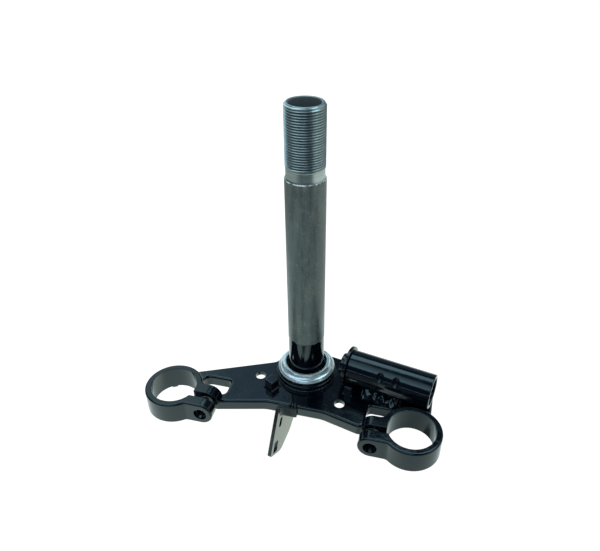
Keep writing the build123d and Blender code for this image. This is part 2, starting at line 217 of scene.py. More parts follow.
def times(tree, first, second):
    """Multiplies two values."""
    return maths(tree, "MULTIPLY", first, second)


def measure(tree, operation, place, vector):
    """Measures coordinates against a vector: their distance from it or their dot product with it."""
    return add(tree, "VectorMath", {0: place, 1: vector}, operation=operation).outputs["Value"]


def ramp(tree, value, low, high, to_low=0.0, to_high=1.0, smooth=True):
    """Maps a value from one span to another, held at the ends."""
    kind = "SMOOTHSTEP" if smooth else "LINEAR"
    return add(tree, "MapRange", {0: value, 1: low, 2: high, 3: to_low, 4: to_high}, interpolation_type=kind).outputs[0]


def window(tree, value, low, high, soft):
    """One inside a span and nothing outside, with soft ends."""
    return times(tree, ramp(tree, value, low - soft, low + soft), ramp(tree, value, high - soft, high + soft, 1.0, 0.0))


def blend_colour(tree, share, first, second):
    """Mixes two colours by a share."""
    first, second = (c if isinstance(c, bpy.types.NodeSocket) else (*c, 1.0) for c in (first, second))
    return add(tree, "Mix", {0: share, 6: first, 7: second}, data_type="RGBA").outputs[2]


def blend_layers(tree, colour, layers):
    """Lays colours over a first one in order, each by its own share."""
    for amount, layer in layers:
        colour = blend_colour(tree, amount, colour, layer)
    return colour


def noise(tree, place, scale, detail=2.0, rough=0.5):
    """Adds a cloud pattern on the given coordinates and gives back its value."""
    return add(tree, "TexNoise", {"Vector": place, "Scale": scale, "Detail": detail, "Roughness": rough}).outputs["Fac"]


def stretched_noise(tree, place, scales, detail=2.0, rough=0.5):
    """Adds a cloud pattern whose repeats differ along each axis."""
    mapped = add(tree, "Mapping", {"Vector": place, "Scale": scales}).outputs[0]
    return noise(tree, mapped, 1.0, detail, rough)


def empty_tree(owner):
    """Turns on the nodes of a material or world, takes them all out and gives back the tree."""
    owner.use_nodes = True
    owner.node_tree.nodes.clear()
    return owner.node_tree


def new_material(name):
    """Starts an empty node material and gives back it, its tree, its shader and the Object coordinates."""
    material = bpy.data.materials.new(name)
    tree = empty_tree(material)
    shader = add(tree, "BsdfPrincipled")
    add(tree, "OutputMaterial", {0: shader.outputs[0]})
    return material, tree, shader, add(tree, "TexCoord").outputs["Object"]


def axis_place(tree, place):
    """Gives the distance from the Z axis, which is the root of x squared plus y squared, and the height."""
    x, y, z = add(tree, "SeparateXYZ", {0: place}).outputs
    return maths(tree, "SQRT", maths(tree, "ADD", times(tree, x, x), times(tree, y, y))), z


def black_paint(name, props, peel, ripple=0.0, soft_edges=False, burnt=None):
    """Gloss black paint: near-black cloudy colour, uneven gloss, fine orange peel, dust and softened edges; burnt is
    the middle of a spot where welding heat has left the paint dull."""
    material, tree, shader, place = new_material(name)
    cloud = noise(tree, place, *PAINT_CLOUD)
    dust = ramp(tree, noise(tree, place, *PAINT_DUST), *DUST_SPAN)
    colour = blend_colour(tree, ramp(tree, cloud, *CLOUD_SPAN), props.colour_deep, props.colour_film)
    colour = blend_colour(tree, times(tree, dust, DUST_SHARE), colour, DUST_COLOUR)
    wear = noise(tree, place, *PAINT_WEAR)
    gloss = ramp(tree, wear, *WEAR_SPAN, props.roughness * 0.6, props.roughness * 1.5)
    gloss = maths(tree, "ADD", gloss, times(tree, dust, DUST_DULL))
    if burnt:
        away = measure(tree, "DISTANCE", place, burnt)
        gloss = maths(tree, "ADD", gloss, ramp(tree, away, *props.burnt_reach, props.burnt_roughness, 0.0))
    height = noise(tree, place, *PAINT_PEEL)
    if ripple:
        height = maths(tree, "ADD", height, times(tree, noise(tree, place, *PAINT_RIPPLE), ripple))
    bump = add(tree, "Bump", {"Strength": 1.0, "Distance": peel, "Height": height})
    if soft_edges:
        edge = add(tree, "Bevel", {"Radius": props.edge_radius}, samples=8)
        tree.links.new(edge.outputs[0], bump.inputs["Normal"])
    fill_sockets(tree, shader, {"Base Color": colour, "Roughness": gloss, "Normal": bump.outputs[0],
                                "IOR": props.refraction, "Specular Tint": (*props.shine_tint, 1.0)})
    return material


def stem_steel(name, props):
    """Stem finish by height: painted foot with a ragged edge, dark oiled tube with drawn streaks, specks and yellowed
    oil, a bright burr at the groove's shoulder, a painted highlight on the top rim's chamfer, turned groove and thread
    with painted shade in the roots, and a dull bore."""
    material, tree, shader, place = new_material(name)
    radius, z = axis_place(tree, place)
    groove, groove_end = props.groove_start, props.groove_start + props.groove_length
    rim_foot = STEM_HIGH[2] - props.rim_chamfer
    ragged_depth, paint_soft = 0.006, 0.0004
    ragged = times(tree, maths(tree, "SUBTRACT", noise(tree, place, *STEM_RAGGED), 0.5), ragged_depth)
    bare = ramp(tree, maths(tree, "ADD", z, ragged), props.paint_edge - paint_soft, props.paint_edge + paint_soft)
    turned = ramp(tree, z, groove - 0.0003, groove + 0.0001)
    streak = stretched_noise(tree, place, *STEM_STREAK)
    mottle = noise(tree, place, *STEM_MOTTLE)
    speck = ramp(tree, noise(tree, place, *STEM_SPECK), *SPECK_SPAN)
    rings = stretched_noise(tree, place, *STEM_RINGS)
    tube = blend_colour(tree, ramp(tree, streak, *STREAK_SPAN), props.tube_dark, props.tube_light)
    tube = blend_colour(tree, ramp(tree, mottle, *MOTTLE_SPAN, 0.0, HAZE_SHARE), tube, props.tube_haze)
    warm = ramp(tree, stretched_noise(tree, place, *STEM_WARM), *WARM_SPAN, 0.0, WARM_SHARE)
    tube = blend_colour(tree, warm, tube, props.tube_warm)
    tube = blend_colour(tree, times(tree, speck, SPECK_SHARE), tube, SPECK_COLOUR)
    steel = blend_colour(tree, ramp(tree, rings, *USUAL_SPAN), props.thread_dark, props.thread_light)
    threaded = ramp(tree, z, groove_end, groove_end + 0.0006)
    rim = ramp(tree, z, rim_foot - 0.0003, rim_foot)
    threaded = times(tree, threaded, maths(tree, "SUBTRACT", 1.0, rim))
    # Painted shade: a darker colour in the thread's roots, faded out at the rim
    root = ramp(tree, radius, props.thread_radius - props.thread_depth, props.thread_radius - 0.0002, 1.0, 0.0)
    steel = blend_colour(tree, times(tree, root, threaded), steel, props.root_shade)
    burr = times(tree, window(tree, z, groove - 0.0005, groove + 0.0004, 0.0002),
                 ramp(tree, noise(tree, place, *STEM_BURR), *BURR_SPAN))
    colour = blend_colour(tree, turned, tube, steel)
    # Bright colour on the groove's burr, and a painted highlight on the top rim's chamfer
    colour = blend_colour(tree, maths(tree, "MAXIMUM", burr, times(tree, rim, RIM_HIGHLIGHT_SHARE)), colour, BURR_AND_RIM_HIGHLIGHT_COLOUR)
    colour = blend_colour(tree, bare, PAINT_AND_SHADE_BLACK, colour)
    bore = ramp(tree, radius, props.bore_radius + 0.0002, props.bore_radius + 0.0006, 1.0, 0.0)
    colour = blend_colour(tree, bore, colour, props.bore_colour)
    tube_gloss = ramp(tree, streak, *USUAL_SPAN, props.tube_roughness * 0.75, props.tube_roughness * 1.3)
    gloss = add(tree, "Mix", {0: turned, 2: tube_gloss, 3: props.thread_roughness}).outputs[0]
    gloss = add(tree, "Mix", {0: bare, 2: FOOT_GLOSS, 3: gloss}).outputs[0]
    streak_height, ring_height, bare_height = 0.5, 0.25, 2.0
    height = maths(tree, "ADD", times(tree, streak, streak_height), times(tree, rings, ring_height))
    height = maths(tree, "ADD", times(tree, height, bare), times(tree, bare, bare_height))
    bump = add(tree, "Bump", {"Strength": 0.6, "Distance": 0.00006, "Height": height})
    metal = times(tree, turned, maths(tree, "SUBTRACT", 1.0, bore))
    fill_sockets(tree, shader, {"Base Color": colour, "Roughness": gloss, "Normal": bump.outputs[0], "Metallic": metal,
                                "IOR": OIL_REFRACTION, "Specular Tint": (*props.shine_tint, 1.0)})
    return material


def race_zinc(name, props):
    """Bright zinc-plated race: pale blue-grey metal with fine turning rings, a little haze, and black on its foot that
    is paint and also painted shade for the race's dark lower wall.
    """
    material, tree, shader, place = new_material(name)
    radius, z = axis_place(tree, place)
    along = add(tree, "CombineXYZ", {0: radius, 1: z}).outputs[0]
    rings = noise(tree, along, *RACE_RINGS)
    haze = noise(tree, place, *RACE_HAZE)
    colour = blend_colour(tree, ramp(tree, haze, *USUAL_SPAN), props.colour_low, props.colour_high)
    gloss = ramp(tree, rings, *USUAL_SPAN, props.roughness * 0.7, props.roughness * 1.4)
    # Black on the race's foot up to this height: paint, and also painted shade for its dark lower wall
    shade_top, paint_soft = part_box("bearing_race")[0][2] + props.shade_foot, 0.0002
    above_shade = ramp(tree, z, shade_top - paint_soft, shade_top + paint_soft)
    colour = blend_colour(tree, above_shade, PAINT_AND_SHADE_BLACK, colour)
    bump = add(tree, "Bump", {"Strength": 0.35, "Distance": 0.00002, "Height": rings})
    fill_sockets(tree, shader, {"Base Color": colour, "Roughness": gloss, "Normal": bump.outputs[0],
                                "Metallic": times(tree, above_shade, props.metal)})
    return material


def give_finish(piece, material):
    """Makes a material the only one of an object."""
    piece.data.materials.clear()
    piece.data.materials.append(material)


def finish_piece(piece, slot, material, *nodes):
    """Gives a piece its finish, ties it to the object and hides the solids that it stands for."""
    give_finish(piece, material)
    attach(piece, "root")
    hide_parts(*nodes)


def paint_nodes(material, names):
    """Gives carried-over solids a finish."""
    for name in names:
        give_finish(NODES[name], material)


def stem_points(props):
    """Stem surface over height and angle: the lathe profile's radius, less the thread's depth times a rounded
    triangle wave of height minus pitch times turns, faded in at the groove and at the rim's chamfer."""
    outer, bore, crest = props.shank_radius, props.bore_radius, props.thread_radius
    top, low, foot = STEM_HIGH[2], STEM_LOW[2], STEM_HIGH[0]
    groove_end = props.groove_start + props.groove_length
    corner, lip_width, lead_in, lead_out = 0.0005, 0.0005, 0.0012, 0.0009
    plain_rows, thread_rows, bore_rows = 220, 430, 40
    rim = crest - props.rim_chamfer
    wall = [(foot, low), (foot, -corner), (outer, corner), (outer, props.groove_start - corner),
            (props.groove_radius, props.groove_start + corner), (props.groove_radius, groove_end - corner),
            (crest, groove_end + corner), (crest, top - props.rim_chamfer), (rim, top)]
    z_smooth = np.linspace(low, groove_end + 2 * corner, plain_rows)
    z_thread = np.linspace(groove_end + 2 * corner, top, thread_rows)[1:]
    z = np.concatenate([z_smooth, z_thread, [w[1] for w in wall]])
    z = np.unique(np.round(z, 7))
    r = np.interp(z, [w[1] for w in wall], [w[0] for w in wall])
    angle = np.arange(props.steps) * TURN / props.steps
    turns = (z[None, :] / props.pitch - angle[:, None] / TURN) % 1.0
    wave = np.abs(2 * turns - 1)
    wave = smoothstep(0.10, 0.92, wave) * 0.5 + wave * 0.5
    fade = smoothstep(groove_end, groove_end + lead_in, z) * (1 - smoothstep(top - lead_out, top, z))
    radius = r[None, :] - props.thread_depth * fade[None, :] * wave
    outside = lathe_points(radius, z, props.steps)
    lip = [(rim * 0.5 + (bore + lip_width) * 0.5, top), (bore + lip_width, top), (bore + 0.00012, top - 0.0002),
           (bore, top - 0.0006)]
    inner = lip + [(bore, h) for h in np.linspace(top - 0.002, low, bore_rows)] + [((bore + foot) / 2, low)]
    inside = lathe_points(*np.array(inner).T, props.steps)
    return np.concatenate([outside, inside], axis=1)


def race_points(props):
    """Race surface: a rounded cross-section of outer wall, sloped lip, hollow ball track, land and bore turned round
    Z. The track is a circle's arc, centre plus radius times the sine and cosine of an evenly spaced angle."""
    low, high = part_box("bearing_race")
    outer, base, top = high[0], low[2], high[2]
    track_points, spacing = 30, 0.0004
    foot = np.array([outer - props.lip_slope, base + props.wall_height + props.lip_rise])
    head = np.array([props.bore_radius + props.land_width, top])
    chord = head - foot
    away = np.array([chord[1], -chord[0]]) / np.linalg.norm(chord)
    centre = (foot + head) / 2 + away * math.sqrt(props.track_radius ** 2 - (chord @ chord) / 4)
    first = math.atan2(*(foot - centre)[::-1]) % TURN
    last = math.atan2(*(head - centre)[::-1]) % TURN
    sweep = np.linspace(first, last, track_points)
    track = centre + props.track_radius * np.stack([np.cos(sweep), np.sin(sweep)], -1)
    wall = [(outer, base), (outer, base + props.wall_height), foot, track[3]]
    land = [track[-2], head, (props.bore_radius, top), (props.bore_radius, base), (outer, base)]
    edge = rounded_profile(wall, props.edge_round)[:-BEND_POINTS]
    inside = rounded_profile(land, props.edge_round)[BEND_POINTS:-BEND_POINTS]
    section = np.concatenate([edge, track[2:-1], inside])
    return lathe_points(*dense_profile(section, spacing).T, props.steps)


def collar_points(props):
    """Collar surface: a stepped cross-section with rounded corners turned round Z."""
    low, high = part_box("stem_collar")
    flange, base, top = high[0], low[2], high[2]
    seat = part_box("bearing_race")[0][2]
    spacing = 0.0005
    corners = [(props.bore_radius, base), (flange, base), (flange, base + props.flange_height),
               (props.step_radius, base + props.flange_height), (props.step_radius, seat),
               (props.spigot_radius, seat), (props.spigot_radius, top), (props.bore_radius, top)]
    return lathe_points(*dense_profile(rounded_profile(corners, props.edge_round), spacing).T, props.steps)


def lock_frame(props):
    """Axis, side and foot point of the lock tube: the axis is +X turned by the tube's angle, the side points back."""
    turn = props.turn
    axis = np.array([math.cos(turn), -math.sin(turn), 0.0])
    side = np.array([math.sin(turn), math.cos(turn), 0.0])
    return axis, side, side * props.side_offset


def lock_points(props):
    """Lock tube surface over angle and length: the outer radius, less each dimple's depth times a soft bowl of the
    distance from its middle, measured in dimple half-widths along the tube and round it; then the mouth and bore."""
    axis, side, foot = lock_frame(props)
    low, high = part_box("lock_tube")
    middle, outer = (low[2] + high[2]) / 2, (high[2] - low[2]) / 2
    start, end, edge = props.start, props.start + props.length, props.edge_round
    wall_rows, dimple_rows, mouth_rows, bore_rows = 60, 45, 7, 24
    dimple_span, bore_start = 1.25, 0.003
    span = np.linspace(-dimple_span, dimple_span, dimple_rows) * props.dimple_width
    fine = np.concatenate([place + span for place in props.dimples])
    t = np.unique(np.round(np.concatenate([np.linspace(start, end - edge, wall_rows), fine]), 6))
    angle = np.arange(props.steps) * TURN / props.steps
    across = (angle[:, None] - props.dimple_rise + math.pi) % TURN - math.pi
    bowl = np.zeros((props.steps, t.size))
    for place in props.dimples:
        away = np.hypot((t[None, :] - place) / props.dimple_width, across / props.dimple_spread)
        bowl = np.maximum(bowl, 1 - smoothstep(0.55, 0.98, away))
    radius = outer - props.dimple_depth * bowl
    bend = np.linspace(*QUARTER, mouth_rows)[1:]
    mouth_t, mouth_r = end - edge + edge * np.sin(bend), outer - edge + edge * np.cos(bend)
    lip_t, lip_r = end - edge + edge * np.cos(bend), props.bore_radius + edge - edge * np.sin(bend)
    tail_t = np.concatenate([mouth_t, lip_t, np.linspace(end - bore_start, start, bore_rows)])
    tail_r = np.concatenate([mouth_r, lip_r, np.full(bore_rows, props.bore_radius)])
    t = np.concatenate([t, tail_t])
    radius = np.concatenate([radius, np.broadcast_to(tail_r, (props.steps, tail_r.size))], axis=1)
    points = foot + t[None, :, None] * axis - (radius * np.cos(angle)[:, None])[..., None] * side
    points[..., 2] = middle + radius * np.sin(angle)[:, None]
    return points


def bead_points(root, out, up, fan, ripple, reach, rise=None, power=2.0):
    """Bead surface over run and fan angle: the root line plus an ellipse of the local reach and rise, times a ripple;
    a power below two flattens the ellipse towards a straight slope. The root line itself closes the section."""
    reach = np.reshape(reach, (-1, 1))
    rise = reach if rise is None else np.reshape(rise, (-1, 1))
    flat, steep = np.cos(fan), np.sin(fan)
    away = (np.abs(flat) / reach) ** power + (np.abs(steep) / rise) ** power
    size = (away ** (-1 / power) * ripple)[..., None]
    way = flat[:, None] * np.reshape(out, (-1, 1, 3)) + steep[:, None] * up
    return np.concatenate([root[:, None] + size * way, root[:, None]], axis=1)


def bead_ripple(run, fan, wave, strength=0.05):
    """Chevron waves of a weld pool along the run, bent over the fan, with slower swells so that no two look alike."""
    t, f = run[:, None], fan[None, :]
    fast = np.sin(TURN * t / wave + 1.6 * np.cos(f))
    slow = np.sin(TURN * t / (wave * 2.7) + 2 * f) + 0.7 * np.sin(TURN * t / (wave * 4.3) + 1.0 - 3 * f)
    return 1 + strength * (fast + 0.6 * slow)


def lump_facets(run, fan):
    """Slanting swells of a weld laid in a few strokes: three sine waves of different strength and length, each leaning
    by its own multiple of the fan angle."""
    t, f = run[:, None], fan[None, :]
    swells = ((0.055, 0.0105, 3.0, 0.0), (0.04, 0.0068, -4.2, 1.0), (0.018, 0.0043, 5.5, 2.0))
    return sum((strength * np.sin(TURN * t / wave + lean * f + start) for strength, wave, lean, start in swells), 1)


def lump_shape(run, spans, floor):
    """Outline of a row of lumps along a run: the highest of the lumps' rounded humps, each the root of one less the
    fourth power of the distance from its middle, and a low floor between the first and the last."""
    inset, least = 0.0004, 0.004
    shape = np.zeros_like(run)
    for start, length in spans:
        away = np.abs(run - start - length / 2) / (length / 2)
        shape = np.maximum(shape, np.sqrt(np.clip(1 - away ** 4, 0, 1)))
    inside = (run > spans[0][0] + inset) & (run < spans[-1][0] + spans[-1][1] - inset)
    return np.maximum(np.maximum(shape, floor * inside), least)


def ring_frame(centre, radius, height, start, arc, count):
    """Run and root line along an arc round an upright axis, with its outward direction; a full turn stays open by one
    step so that it can be joined."""
    full = math.isclose(arc, TURN)
    angle = start + (np.arange(count) / count if full else np.linspace(0, 1, count)) * arc
    out = np.stack([np.cos(angle), np.sin(angle), np.zeros(count)], -1)
    return angle * radius, np.array([*centre, height]) + radius * out, out


def lock_bead_points(props, lock):
    """Three lumps along the saddle's front foot, between the plate and the tube."""
    axis, side, foot = lock_frame(lock)
    spans = list(zip(props.lock_starts, props.lock_runs))
    run = np.linspace(spans[0][0], spans[-1][0] + spans[-1][1], 170)
    fan = np.linspace(*QUARTER, 26)
    between, slope = 0.78, 1.35
    shape = lump_shape(run, spans, between)
    lean = 0.92 + 0.08 * np.sin(run / 0.0031)
    root = foot - side * props.lock_front + run[:, None] * axis
    root[:, 2] = PLATE_TOP
    return bead_points(root, -side, UP, fan, 0.90 * lump_facets(run, fan), props.lock_reach * shape * lean,
                       props.lock_rise * shape, slope)


def clamp_bead_points(props, hand):
    """A bead along the arc where a clamp stands on the plate."""
    low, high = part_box("fork_clamp_left" if hand < 0 else "fork_clamp_right")
    radius = props.clamp_radius
    centre = (low[0] + radius if hand < 0 else high[0] - radius, low[1] + radius)
    start = math.pi / 2 - props.clamp_turn if hand > 0 else math.pi / 2 + props.clamp_turn - props.clamp_arc
    run, root, out = ring_frame(centre, radius, PLATE_TOP, start, props.clamp_arc, 130)
    fan = np.linspace(*QUARTER, 18)
    shape = lump_shape(run, [(run[0], run[-1] - run[0])], 0.0)
    return bead_points(root, out, UP, fan, 0.9 * bead_ripple(run, fan, 0.0024), props.clamp_reach * shape)


def collar_bead_points(props):
    """A thin bead right round the collar's foot, with a whole number of ripples."""
    run, root, out = ring_frame((0, 0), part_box("stem_collar")[1][0], PLATE_TOP, 0.0, TURN, 480)
    fan = np.linspace(*QUARTER, 10)
    wave = run[-1] / round(run[-1] / 0.0022)
    return bead_points(root, out, UP, fan, 0.9 * bead_ripple(run, fan, wave), props.collar_reach)


def foot_bead_points(props):
    """A wide bead under the plate, right round the stem's foot."""
    run, root, out = ring_frame((0, 0), STEM_HIGH[0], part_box("stem_weld")[1][2], 0.0, TURN, 360)
    fan = np.linspace(*QUARTER, 18)
    return bead_points(root, out, -UP, fan, 0.9 * bead_ripple(run, fan, 0.0028), props.foot_reach)


def bracket_bead_points(props):
    """Three short lumps where the bracket's flange meets the plate's bent edge."""
    low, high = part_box("bracket_weld")
    steps, between = 90, 0.6
    run = np.linspace(low[0], high[0], steps)
    third = (high[0] - low[0]) / 3
    shape = lump_shape(run, [(low[0] + k * third, third) for k in range(3)], between)
    fan = np.linspace(0, math.pi, 30)
    root = np.stack([run, np.full(steps, (low[1] + high[1]) / 2), np.full(steps, PLATE_TOP)], -1)
    forward = (0.0, -1.0, 0.0)
    return bead_points(root, forward, UP, fan, 0.88 * bead_ripple(run, fan, 0.0024), props.bracket_reach * shape)


def setting(kind, **options):
    """Short form of a property with fixed options, which then takes a name, a description and a default."""
    def make(name, description, default):
        return kind(name=name, description=description, default=default, **options)
    return make


size = setting(bpy.props.FloatProperty, unit="LENGTH", precision=5)
pair = setting(bpy.props.FloatVectorProperty, unit="LENGTH", size=2)
triple = setting(bpy.props.FloatVectorProperty, unit="LENGTH", size=3)
angle = setting(bpy.props.FloatProperty, subtype="ANGLE")
share = setting(bpy.props.FloatProperty, subtype="FACTOR", min=0, max=1)
tint = setting(bpy.props.FloatVectorProperty, subtype="COLOR")
glow = setting(bpy.props.FloatVectorProperty, subtype="COLOR", max=10)
points_round = setting(bpy.props.IntProperty, min=24)


class STEM_PG_sizes(bpy.types.PropertyGroup):
    """Sizes and finish of the threaded stem"""
    shank_radius: size("Shank radius", "Radius of the plain tube", 0.0125)
    bore_radius: size("Bore radius", "Radius of the hole through the stem", 0.0092)
    groove_start: size("Groove start", "Height where the run-out groove begins", 0.1454)
    groove_length: size("Groove length", "Length of the run-out groove", 0.0065)
    groove_radius: size("Groove radius", "Radius at the run-out groove", 0.0116)
    thread_radius: size("Thread radius", "Radius over the thread's crests", 0.012)
    thread_depth: size("Thread depth", "Depth from crest to root", 0.00085)
    pitch: size("Pitch", "Distance from one crest to the next", 0.0015)
    rim_chamfer: size("Rim chamfer", "Slope at the top rim's outer edge", 0.0013)
    paint_edge: size("Paint edge", "Height up to which the foot is painted", 0.0270)
    steps: points_round("Steps", "Points round the stem", 128)
    tube_dark: tint("Tube dark", "Darker streaks of the plain tube", (0.041, 0.052, 0.050))
    tube_light: tint("Tube light", "Lighter streaks of the plain tube", (0.072, 0.090, 0.086))
    tube_haze: tint("Tube haze", "Dusty film on the plain tube", (0.098, 0.114, 0.104))
    tube_warm: tint("Tube warm", "Yellowed oil on the plain tube", (0.100, 0.112, 0.090))
    tube_roughness: share("Tube roughness", "Gloss of the plain tube", 0.36)
    thread_dark: tint("Thread dark", "Darker steel of groove and thread", (0.36, 0.41, 0.41))
    thread_light: tint("Thread light", "Lighter steel of groove and thread", (0.54, 0.60, 0.59))
    thread_roughness: share("Thread roughness", "Gloss of groove and thread", 0.28)
    # Thread roots: painted shade, the darker colour laid in the thread's roots
    root_shade: tint("Thread roots", "Oily dirt in the thread's roots", (0.21, 0.245, 0.255))
    bore_colour: tint("Bore", "Dull steel inside the stem", (0.072, 0.088, 0.100))
    shine_tint: tint("Shine tint", "Tint of the oil film's reflections", (0.86, 1.0, 1.0))


class RACE_PG_sizes(bpy.types.PropertyGroup):
    """Sizes and finish of the bearing race"""
    bore_radius: size("Bore radius", "Radius of the race's hole", 0.01465)
    wall_height: size("Wall height", "Height of the upright outer wall", 0.0006)
    lip_slope: size("Lip slope", "How far the lip leans in", 0.0016)
    lip_rise: size("Lip rise", "Height of the sloped lip", 0.0017)
    track_radius: size("Track radius", "Radius of the hollow ball track", 0.0036)
    land_width: size("Land width", "Flat beside the bore", 0.0016)
    edge_round: size("Edge round", "Softness of the edges", 0.0004)
    steps: points_round("Steps", "Points round the race", 240)
    colour_low: tint("Dull zinc", "Duller plating", (0.52, 0.61, 0.63))
    colour_high: tint("Bright zinc", "Brighter plating", (0.66, 0.75, 0.76))
    roughness: share("Roughness", "Gloss of the plating", 0.22)
    metal: share("Metal", "How far the plating mirrors as metal", 0.75)
    # Height of the black band on the race's foot: paint, and also painted shade for its dark lower wall
    shade_foot: size("Paint foot", "How far the paint climbs up the race", 0.0009)


class COLLAR_PG_sizes(bpy.types.PropertyGroup):
    """Sizes of the stepped collar"""
    bore_radius: size("Bore radius", "Radius of the collar's hole", 0.01285)
    spigot_radius: size("Spigot radius", "Radius under the race", 0.0146)
    step_radius: size("Step radius", "Radius of the upper step", 0.020)
    flange_height: size("Flange height", "Height of the wide foot", 0.0035)
    edge_round: size("Edge round", "Softness of the edges", 0.0010)
    steps: points_round("Steps", "Points round the collar", 240)


class LOCK_PG_sizes(bpy.types.PropertyGroup):
    """Sizes of the steering lock tube"""
    turn: angle("Turn", "Tube's angle to the plate's cross axis", math.radians(11.2))
    side_offset: size("Side offset", "How far the tube's axis lies behind the stem", 0.0042)
    start: size("Start", "Distance from the stem to the tube's inner end", 0.0329)
    length: size("Length", "Length of the tube", 0.0591)
    bore_radius: size("Bore radius", "Radius of the lock's bore", 0.0095)
    edge_round: size("Edge round", "Softness of the mouth", 0.0008)
    dimples: pair("Dimples", "Places of the two dimples along the tube", (0.0573, 0.0683))
    dimple_rise: angle("Dimple rise", "Height of the dimples as an angle", math.radians(36.0))
    dimple_width: size("Dimple width", "Half a dimple's width along the tube", 0.0027)
    dimple_spread: angle("Dimple spread", "Half a dimple's height round the tube", math.radians(19.0))
    dimple_depth: size("Dimple depth", "Depth of a dimple", 0.0015)
    steps: points_round("Steps", "Points round the tube", 300)


class BEAD_PG_sizes(bpy.types.PropertyGroup):
    """Sizes of the weld beads"""
    lock_front: size("Saddle front", "Distance from the tube's axis to the beads", 0.0065)
    lock_starts: triple("Lump starts", "Where the three lumps begin", (0.0450, 0.0548, 0.0644))
    lock_runs: triple("Lump lengths", "Lengths of the three lumps", (0.0096, 0.0094, 0.0070))
    lock_reach: size("Lump reach", "How far the lumps stand out on the plate", 0.0088)
    lock_rise: size("Lump rise", "How high the lumps climb", 0.0066)
    clamp_radius: size("Clamp radius", "Radius of the fork clamps' rings", 0.0194)
    clamp_reach: size("Clamp bead", "Size of the beads at the clamps", 0.003)
    clamp_turn: angle("Clamp bead turn", "Angle from straight back to a bead's end", math.radians(24.0))
    clamp_arc: angle("Clamp bead arc", "Angle that a clamp's bead covers", math.radians(44.0))
    collar_reach: size("Collar bead", "Size of the bead round the collar", 0.001)
    foot_reach: size("Foot bead", "Size of the bead under the plate", 0.004)
    bracket_reach: size("Bracket bead", "Size of the bead above the bracket", 0.0025)


class PAINT_PG_finish(bpy.types.PropertyGroup):
    """Gloss black paint"""
    colour_deep: tint("Deep colour", "Paint where it lies thick", (0.0005, 0.0013, 0.0036))
    colour_film: tint("Film colour", "Paint where it lies thin", (0.0013, 0.0023, 0.0048))
    roughness: share("Roughness", "Gloss of the paint", 0.11)
    burnt_roughness: share("Burnt roughness", "Gloss lost beside the bracket's weld", 0.5)
    burnt_reach: pair("Burnt reach", "Distances where the dull spot fades", (0.006, 0.014))
    refraction: bpy.props.FloatProperty(name="Refraction", description="Strength of the paint's reflections",
                                        default=1.5, min=1, max=3)
    edge_radius: size("Edge radius", "How far the paint rounds an edge", 0.0006)
    shine_tint: tint("Shine tint", "Tint of the paint's reflections", (0.84, 0.98, 1.0))


class STAGE_PG_light(bpy.types.PropertyGroup):
    """Floor, light and camera"""
    eye: triple("Eye", "Where the camera stands", (0.077126, -0.291661, 0.280313))
    azimuth: angle("Azimuth", "Camera's turn round the object", math.radians(13.746))
    elevation: angle("Elevation", "Camera's height as an angle", math.radians(34.885))
    roll: angle("Roll", "Camera's tilt", math.radians(0.255))
    focal: bpy.props.FloatProperty(name="Focal length", description="Focal length in image pixels", default=560.612)
    centre: bpy.props.FloatVectorProperty(name="Centre", description="Pixel that the lens axis meets", size=2,
                                          default=(314.653, 283.451))
    floor_size: size("Floor size", "Half the floor's width", 2.0)
    fill: tint("Fill light", "Even light that reaches matt surfaces", (0.92, 1.0, 1.0))
    dim: tint("Dim room", "Light from the dark part of the room", (0.09, 0.13, 0.18))
    dark: tint("Dark corner", "Light from the darker right of the room", (0.035, 0.065, 0.095))
    dark_front: tint("Dark front", "Light from the room behind the camera", (0.015, 0.040, 0.080))
    line_front: glow("Front line", "Light of a bright strip behind the camera", (0.95, 1.15, 1.25))
    panel_front: glow("Front panel", "Light of the front soft box", (1.4, 2.0, 2.35))
    panel_back: glow("Back panel", "Light of the back soft box", (1.6, 2.4, 2.8))
    glow_back: glow("Back glow", "Light of the lower wall behind", (0.13, 0.19, 0.24))
    glow_right: glow("Right glow", "Light of the wall on the right", (0.46, 0.52, 0.52))
    glow_left: glow("Left glow", "Light of the wall behind on the left", (0.40, 0.60, 0.80))
    glow_far: glow("Far left glow", "Light of the wall further to the left", (0.85, 1.15, 1.25))
    # The near floor and the floor under the object are painted light, a pool round and under the object seen only in
    # reflections
    floor_near: glow("Near floor", "Floor beside the object as gloss sees it", (1.12, 1.34, 1.32))
    floor_far: glow("Far floor", "Floor away from the object as gloss sees it", (0.09, 0.12, 0.135))
    floor_under_light: glow("Floor under", "Floor under the object as gloss sees it", (1.75, 1.95, 1.72))
    floor_right: glow("Right floor", "Floor on the right as gloss sees it", (0.78, 0.86, 0.82))
    floor_left: glow("Left floor", "Floor on the left as gloss sees it", (0.40, 0.45, 0.43))
    floor_reach: pair("Floor reach", "Distances where the floor begins and ends to dim", (0.13, 0.42))


class STEM_OT_build(bpy.types.Operator):
    """Builds the threaded steering stem"""
    bl_idname = "triple_clamp.stem"
    bl_label = "Steering stem"

    def execute(self, context):
        props = context.scene.triple_clamp_stem
        piece = grid_object("threaded_stem", stem_points(props), True, True)
        finish_piece(piece, "bare_steel", stem_steel("stem_steel", props), "steering_stem")
        return {"FINISHED"}


class RACE_OT_build(bpy.types.Operator):
    """Builds the bright bearing race"""
    bl_idname = "triple_clamp.race"
    bl_label = "Bearing race"

    def execute(self, context):
        props = context.scene.triple_clamp_race
        piece = grid_object("turned_race", race_points(props), True, True)
        finish_piece(piece, "bright_race", race_zinc("race_zinc", props), "bearing_race")
        return {"FINISHED"}


